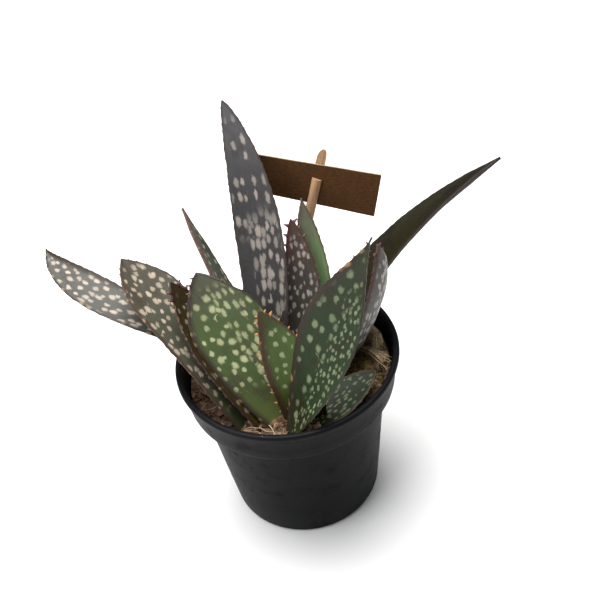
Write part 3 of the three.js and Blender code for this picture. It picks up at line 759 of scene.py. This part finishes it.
def leaf_finish(name, leaf):
    finish, tree, body = new_finish(name + "_skin", Specular_IOR_Level=leaf.get("gloss", 0.24))
    flat = held(tree, "blade")
    scar = parts(tree, held(tree, "scar"))[0]
    rim = parts(tree, flat)[2]
    u, share = parts(tree, held(tree, "place"))[:2]
    skin = put(tree, "ShaderNodeGroup", {0: flat}, node_tree=leaf_skin).outputs

    foot, middle, tip = ((*tone, 1) for tone in leaf["tones"])
    loose = maths(tree, "MULTIPLY_ADD", skin["Patches"], 0.24, maths(tree, "SUBTRACT", share, 0.12))
    tone = blend_colour(tree, ramp_to(tree, loose, 0.05, 0.38), foot, middle)
    tone = blend_colour(tree, ramp_to(tree, loose, 0.62, 0.98), tone, tip)
    tone = blend_colour(tree, ramp_to(tree, skin["Patches"], 0.5, 0.72, 0, 0.75), tone, (*leaf["blush"], 1))
    shade = maths(tree, "MULTIPLY_ADD", skin["Lines"], 0.55, 0.72)
    grey = put(tree, "ShaderNodeCombineColor", {0: shade, 1: shade, 2: shade}).outputs[0]
    tone = blend_colour(tree, 1.0, tone, grey, "MULTIPLY")

    masks = times(tree, spot_mask(tree, leaf, flat, u, share), ramp_to(tree, rim, 0.5, 2.0))
    masks = times(tree, masks, ramp_to(tree, skin["Pores"], 0.15, 0.6, 0.72, 1.0))
    tone = blend_colour(tree, times(tree, masks, 0.92), tone, (*leaf["spot"], 1))
    bloom = ramp_to(tree, skin["Bloom"], 0.5, 0.8, 0.0, leaf.get("bloom", 0.1))
    tone = blend_colour(tree, bloom, tone, (0.24, 0.25, 0.23, 1))

    reach = ramp_to(tree, u, -0.3, 0.3, *leaf["band"])
    uneven = maths(tree, "MULTIPLY_ADD", skin["Bloom"], 0.9, rim)
    near = maths(tree, "DIVIDE", uneven, maths(tree, "ADD", reach, 0.7))
    tone = blend_colour(tree, ramp_to(tree, near, 1.15, 0.3), tone, (*leaf["margin"], 1))
    tone = blend_colour(tree, ramp_to(tree, scar, 0.3, 0.85, 0, 0.8), tone, (*leaf["callus"], 1))
    # Painted highlight: a thin line along the very edge of the margin, lighter than the margin colour,
    # standing in for light caught on the rounded edge.
    painted_edge_highlight = tuple(0.6 * c + 0.06 for c in leaf["margin"])
    tone = blend_colour(tree, ramp_to(tree, rim, 0.28, 0.08, 0.0, 0.35), tone, (*painted_edge_highlight, 1))
    tree.links.new(tone, body.inputs["Base Color"])

    rough = maths(tree, "MULTIPLY_ADD", skin["Bloom"], 0.3, 0.27)
    tree.links.new(maths(tree, "MULTIPLY_ADD", masks, 0.08, rough), body.inputs["Roughness"])
    height = maths(tree, "MULTIPLY_ADD", skin["Lines"], 0.8, times(tree, skin["Pores"], 0.25))
    height = maths(tree, "MULTIPLY_ADD", masks, 0.25, height)
    raise_skin(tree, body, height, 0.5, 0.0005)
    return finish


def barb_finish(name, leaf):
    """Horny teeth: the margin's colour at the foot, clearer and brighter towards the point."""
    finish, tree, body = new_finish(name + "_teeth", Roughness=0.4, Specular_IOR_Level=0.5)
    out = parts(tree, held(tree, "blade"))[2]
    grain = cloud(tree, own_place(tree), 900.0)
    tone = blend_colour(tree, ramp_to(tree, out, -0.1, -0.8), (*leaf["margin"], 1), (*leaf["barb"], 1))
    tone = blend_colour(tree, ramp_to(tree, out, -1.3, -1.9, 0, 0.5), tone, (0.05, 0.025, 0.018, 1))
    tone = blend_colour(tree, ramp_to(tree, grain, 0.3, 0.7, 0, 0.3), tone, (*leaf["margin"], 1))
    tree.links.new(tone, body.inputs["Base Color"])
    return finish


for name, leaf in LEAVES.items():
    finishes = [leaf_finish(name, leaf), barb_finish(name, leaf)]
    add_piece(name + "_blade", grow_leaf(leaf), finishes, name)


# Plant label
# A round beech stick pushed into the soil, split down its upper end. A card of thin brown
# board, cut a little wider at its right end, stands in the split, and the front half of the
# stick is broken off over the card's middle.
STICK_FOOT = (3.3, 36, 79.5)
STICK_LEAN = (18, 5.5)
STICK_RADIUS = 2.4
STICK_DEPTH = 16
STICK_POINT_TOP = -11
STICK_LENGTH = 93
STICK_RINGS = 24
CARD_LEFT = -31
CARD_RIGHT = (30, 28.4)
CARD_LOWER = (66.9, 65.2)
CARD_UPPER = (84.8, 86.2)
CARD_THICKNESS = 1.0
CARD_SWING = -11
SPLIT_WIDTH = CARD_THICKNESS + 0.5
SPLIT_LOW = 65.2
FRONT_HALF_TOP = 79

stick_way = Vector((*(math.tan(math.radians(lean)) for lean in STICK_LEAN), 1)).normalized()
level_across = Vector((stick_way.z, 0, -stick_way.x)).normalized()
across = Matrix.Rotation(math.radians(CARD_SWING), 3, stick_way) @ level_across
inward = stick_way.cross(across)
on_stick = Matrix((across, inward, stick_way)).transposed().to_4x4()
on_stick.translation = Vector(STICK_FOOT) * MM


def wood_finish(name, painted_edge_highlight, dark, end, rough, across, along, fleck):
    """Straight grain on the piece's own coordinates in mm, with its length along Z."""
    finish, tree, body = new_finish(name, Specular_IOR_Level=0.18)
    own = held(tree, "grain")
    cut = parts(tree, held(tree, "cut"))[0]
    drawn = put(tree, "ShaderNodeMapping", {"Vector": own, "Scale": (across, across, along)}).outputs[0]
    lines = cloud(tree, drawn, 1.0, 6.0, 0.6)
    deep = (*(c * 0.35 for c in dark[:3]), 1)
    tone = blend_colour(tree, ramp_to(tree, lines, 0.35, 0.7), painted_edge_highlight, dark)
    tone = blend_colour(tree, ramp_to(tree, cloud(tree, own, 0.12), 0.4, 0.7, 0, 0.4), tone, dark)
    tone = blend_colour(tree, ramp_to(tree, cloud(tree, own, 2.6, 3.0), 0.6, 0.75, 0, fleck), tone, deep)
    tone = blend_colour(tree, cut, tone, end)
    tree.links.new(tone, body.inputs["Base Color"])
    tree.links.new(maths(tree, "MULTIPLY_ADD", lines, 0.2, rough), body.inputs["Roughness"])
    raise_skin(tree, body, lines, 0.5, 0.0003)
    return finish


def cutter(size, centre, tip=0.0):
    """A box in mm, tipped about Y in degrees, as an object to cut with."""
    bm = bmesh.new()
    place = Matrix.Translation(Vector(centre)) @ Matrix.Rotation(math.radians(tip), 4, "Y")
    bmesh.ops.create_cube(bm, size=1, matrix=Matrix.Scale(MM, 4) @ place @ Matrix.Diagonal((*size, 1)))
    return loose_object("cutter", bm)


beech = wood_finish("bare_beech", (0.6, 0.375, 0.215, 1), (0.4, 0.22, 0.115, 1), (0.45, 0.28, 0.17, 1),
                    rough=0.5, across=2.2, along=0.07, fleck=0.3)
top = STICK_LENGTH
rings = [(STICK_RADIUS, STICK_POINT_TOP + (top + 7) * i / STICK_RINGS) for i in range(STICK_RINGS)]
bm = turned_body([(0, -STICK_DEPTH), (0.6, -STICK_DEPTH)] + rings
                 + [(STICK_RADIUS, top - 4), (2.26, top - 2.6), (1.95, top - 1.5), (1.45, top - 0.6),
                    (0.8, top - 0.15), (0, top)], 32)
whole = loose_object("whole_stick", bm)
split = cutter((8, SPLIT_WIDTH, 60), (0, 0, SPLIT_LOW + 30))
broken = cutter((9, 4, 30), (0, -2, FRONT_HALF_TOP + 15), 9)
bm = bmesh.new()
bm.from_mesh(cut_shape(whole, [split, broken]))
bpy.data.objects.remove(whole)
grain = bm.verts.layers.float_vector.new("grain")
fresh = bm.verts.layers.float_vector.new("cut")
for v in bm.verts:
    v[grain] = v.co / MM
    inside = v.co.z > SPLIT_LOW * MM and math.hypot(v.co.x, v.co.y) < (STICK_RADIUS - 0.2) * MM
    v[fresh] = Vector((0.8 if inside and v.co.z < (top - 5) * MM else 0.0, 0, 0))
    if v.co.z < (SPLIT_LOW - 2) * MM:
        v.co.xy *= 1 + 0.03 * noise.noise(Vector((v.co.x * 400, v.co.y * 400, v.co.z * 40)))
    slope = max(0.0, v.co.z / MM - (top - 8)) / 8
    v.co.x += 0.9 * slope ** 2 * MM * (1 - v.co.x / (STICK_RADIUS * MM)) * 0.5
bmesh.ops.transform(bm, verts=bm.verts, matrix=on_stick)
add_piece("label_stick_round", bm, [beech], "label_stick", smooth=False)

board = wood_finish("brown_board", (0.108, 0.048, 0.0155, 1), (0.066, 0.027, 0.0085, 1),
                    (0.42, 0.33, 0.22, 1), rough=0.6, across=1.6, along=0.5, fleck=0.5)
bm = bmesh.new()
grain = bm.verts.layers.float_vector.new("grain")
bmesh.ops.create_grid(bm, x_segments=80, y_segments=26, size=0.5)
for v in bm.verts:
    east, north = v.co.x + 0.5, v.co.y + 0.5
    x = CARD_LEFT + east * (CARD_RIGHT[0] + (CARD_RIGHT[1] - CARD_RIGHT[0]) * north - CARD_LEFT)
    low = CARD_LOWER[0] + (CARD_LOWER[1] - CARD_LOWER[0]) * east
    z = low + north * (CARD_UPPER[0] + (CARD_UPPER[1] - CARD_UPPER[0]) * east - low)
    warp = 0.3 * noise.noise(Vector((x / 16, z / 16, 0))) * min(1.0, max(0.0, abs(x) - 2.4) / 9)
    v[grain] = Vector((z, 0, x))
    v.co = Vector((x, warp, z)) * MM
bmesh.ops.recalc_face_normals(bm, faces=bm.faces)
bmesh.ops.solidify(bm, geom=bm.faces, thickness=CARD_THICKNESS * MM)
middle = sum((v.co.y for v in bm.verts), 0.0) / len(bm.verts)
bmesh.ops.translate(bm, verts=bm.verts, vec=(0, -middle, 0))
for f in bm.faces:
    if abs(f.normal.y) < 0.5:
        f.material_index = 1
bmesh.ops.recalc_face_normals(bm, faces=bm.faces)
bmesh.ops.transform(bm, verts=bm.verts, matrix=on_stick)
# Painted highlight: every cut edge of the card gets a pale tone, standing in for the light caught along its
# top edge.
board_edge_painted_highlight = wood_finish("board_edge_painted_highlight", (0.46, 0.38, 0.27, 1), (0.33, 0.26, 0.17, 1), (0.42, 0.33, 0.22, 1),
                         rough=0.7, across=3.5, along=3.5, fleck=0.3)
add_piece("label_card_board", bm, [board, board_edge_painted_highlight], "label_card", smooth=False)


# Floor, light and camera
# A plain pale floor, a broad soft light from above and a little to the left with a weaker one
# from the upper left, and the photograph's high, slightly turned view.
floor_finish, tree, body = new_finish("pale_floor", Roughness=0.9, Specular_IOR_Level=0.1)
body.inputs["Base Color"].default_value = (0.93, 0.93, 0.93, 1)
bm = bmesh.new()
bmesh.ops.create_grid(bm, x_segments=1, y_segments=1, size=6)
floor = loose_object("floor", bm)
floor.data.materials.append(floor_finish)

world = bpy.data.worlds.new("soft_daylight")
world.use_nodes = True
sky = world.node_tree.nodes["Background"].inputs
sky["Color"].default_value = (0.95, 0.98, 1, 1)
sky["Strength"].default_value = 0.25
bpy.context.scene.world = world


def soft_light(name, place, target, size, power, colour):
    light = bpy.data.lights.new(name, "AREA")
    light.shape = "DISK"
    light.size = size
    light.energy = power
    light.color = colour
    lamp = bpy.data.objects.new(name, light)
    lamp.location = place
    lamp.rotation_euler = (Vector(target) - Vector(place)).to_track_quat("-Z", "Y").to_euler()
    bpy.context.scene.collection.objects.link(lamp)


soft_light("sky_window", (-0.1, 0.2, 1.15), (0, 0, 0.1), 1.0, 24, (1, 0.99, 0.98))
soft_light("left_window", (-0.7, -0.35, 0.75), (0, 0, 0.1), 0.7, 5, (1, 1, 1))
bpy.context.scene.view_settings.view_transform = "Standard"

eye = bpy.data.cameras.new("photo_view")
eye.lens = 48
eye.sensor_width = 36
eye.clip_start = 0.02
camera = bpy.data.objects.new("photo_view", eye)
right = Vector((0.9844, -0.1345, -0.1132)).normalized()
back = Vector((-0.0279, -0.7556, 0.6545)).normalized()
up = back.cross(right).normalized()
turned = Matrix((right, up, back)).transposed().to_4x4()
camera.matrix_world = Matrix.Translation((0, -0.2677, 0.3526)) @ turned
bpy.context.scene.collection.objects.link(camera)
bpy.context.scene.camera = camera
